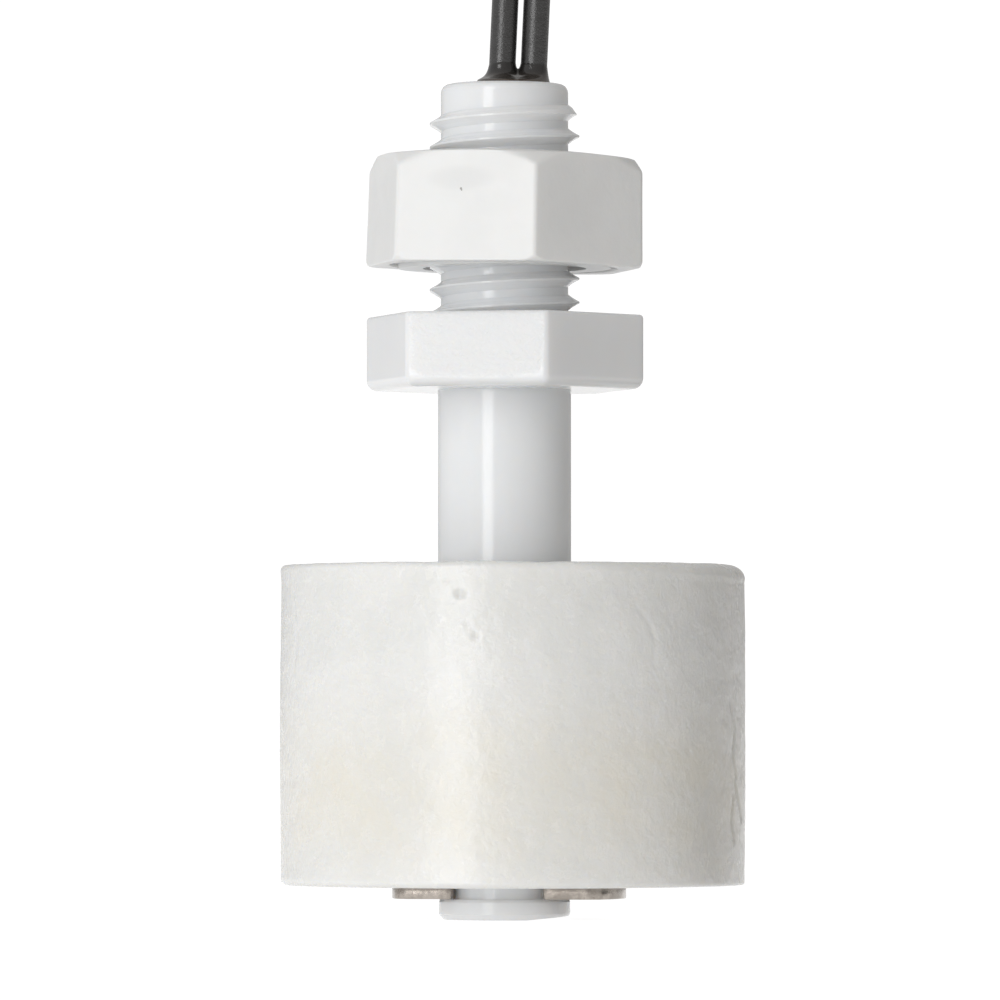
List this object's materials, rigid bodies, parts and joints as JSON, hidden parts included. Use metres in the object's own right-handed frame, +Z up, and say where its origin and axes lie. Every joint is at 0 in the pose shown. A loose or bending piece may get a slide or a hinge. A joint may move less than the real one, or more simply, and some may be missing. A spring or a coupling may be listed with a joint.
{
  "type": "vertical float switch",
  "caption": "Miniature vertical float switch: threaded plastic stem with hex flange and nut, sliding round magnetic float held by an E-clip, reed switch inside and two wire leads.",
  "frame": {"origin": "stem axis at the hex flange's top face, the face that seals against the tank wall", "axes": "+Z up along the stem towards the leads; the E-clip opens towards -Y; +X points to the side on which the leads are put away"},
  "size_m": [0.0672, 0.0294, 0.0661],
  "materials": {
    "white_pp": "satin moulded polypropylene",
    "nut_pp": "matt moulded polypropylene",
    "float_pp": "mottled translucent foamed polypropylene",
    "ferrite": "sintered ferrite",
    "amber_glue": "cast resin",
    "spring_steel": "pressed spring steel, tumbled",
    "black_epoxy": "glossy cast epoxy",
    "reed_glass": "clear green-tinted glass",
    "reed_metal": "plated nickel-iron",
    "tinned_copper": "tinned copper",
    "solder": "solder",
    "sleeve_black": "heat-shrink tube",
    "lead_pvc": "satin black PVC",
    "tie_black": "matt plastic tie"
  },
  "bodies": {
    "stem": {"stem_body": "white_pp", "retaining_clip": "spring_steel", "potting_plug": "black_epoxy", "reed_capsule": "reed_glass", "reed_blade_fixed": "reed_metal", "reed_pin_lower": "reed_metal", "return_lead": "tinned_copper", "return_lead_sleeve": "sleeve_black", "solder_joint_a": "solder", "solder_joint_b": "solder", "solder_joint_lower": "solder", "lead_core_a": "tinned_copper", "lead_core_b": "tinned_copper", "lead_a": "lead_pvc", "lead_b": "lead_pvc", "lead_tip_a": "tinned_copper", "lead_tip_b": "tinned_copper", "lead_coil": "lead_pvc", "coil_tie": "tie_black"},
    "float": {"float_body": "float_pp", "ring_magnet": "ferrite", "magnet_potting": "amber_glue", "float_end_cap": "float_pp"},
    "reed_blade": {"reed_blade_moving": "reed_metal"},
    "nut_carrier": {"nut_washer_face": "nut_pp"},
    "nut": {"mounting_nut": "nut_pp"}
  },
  "joints": [
    {"name": "float_travel", "type": "slide", "parent": "stem", "child": "float", "axis": [0, 0, 1], "range_m": [0, 0.0091]},
    {"name": "reed_close", "type": "hinge", "parent": "stem", "child": "reed_blade", "pos_m": [-0.001, 0, -0.0214], "axis": [0, 1, 0], "range_deg": [0, 1.58]},
    {"name": "nut_travel", "type": "slide", "parent": "stem", "child": "nut_carrier", "axis": [0, 0, 1], "range_m": [-0.00239, 0.0097]},
    {"name": "nut_turn", "type": "hinge", "parent": "nut_carrier", "child": "nut", "pos_m": [0, 0, 0.0054], "axis": [0, 0, 1], "range_deg": [-690, 2800]}
  ],
  "couplings": [
    {"joint": "nut_turn", "follows": "nut_travel", "rad_per_m": 5026.5},
    {"joint": "reed_close", "follows": "float_travel", "rad_per_m": 3}
  ]
}
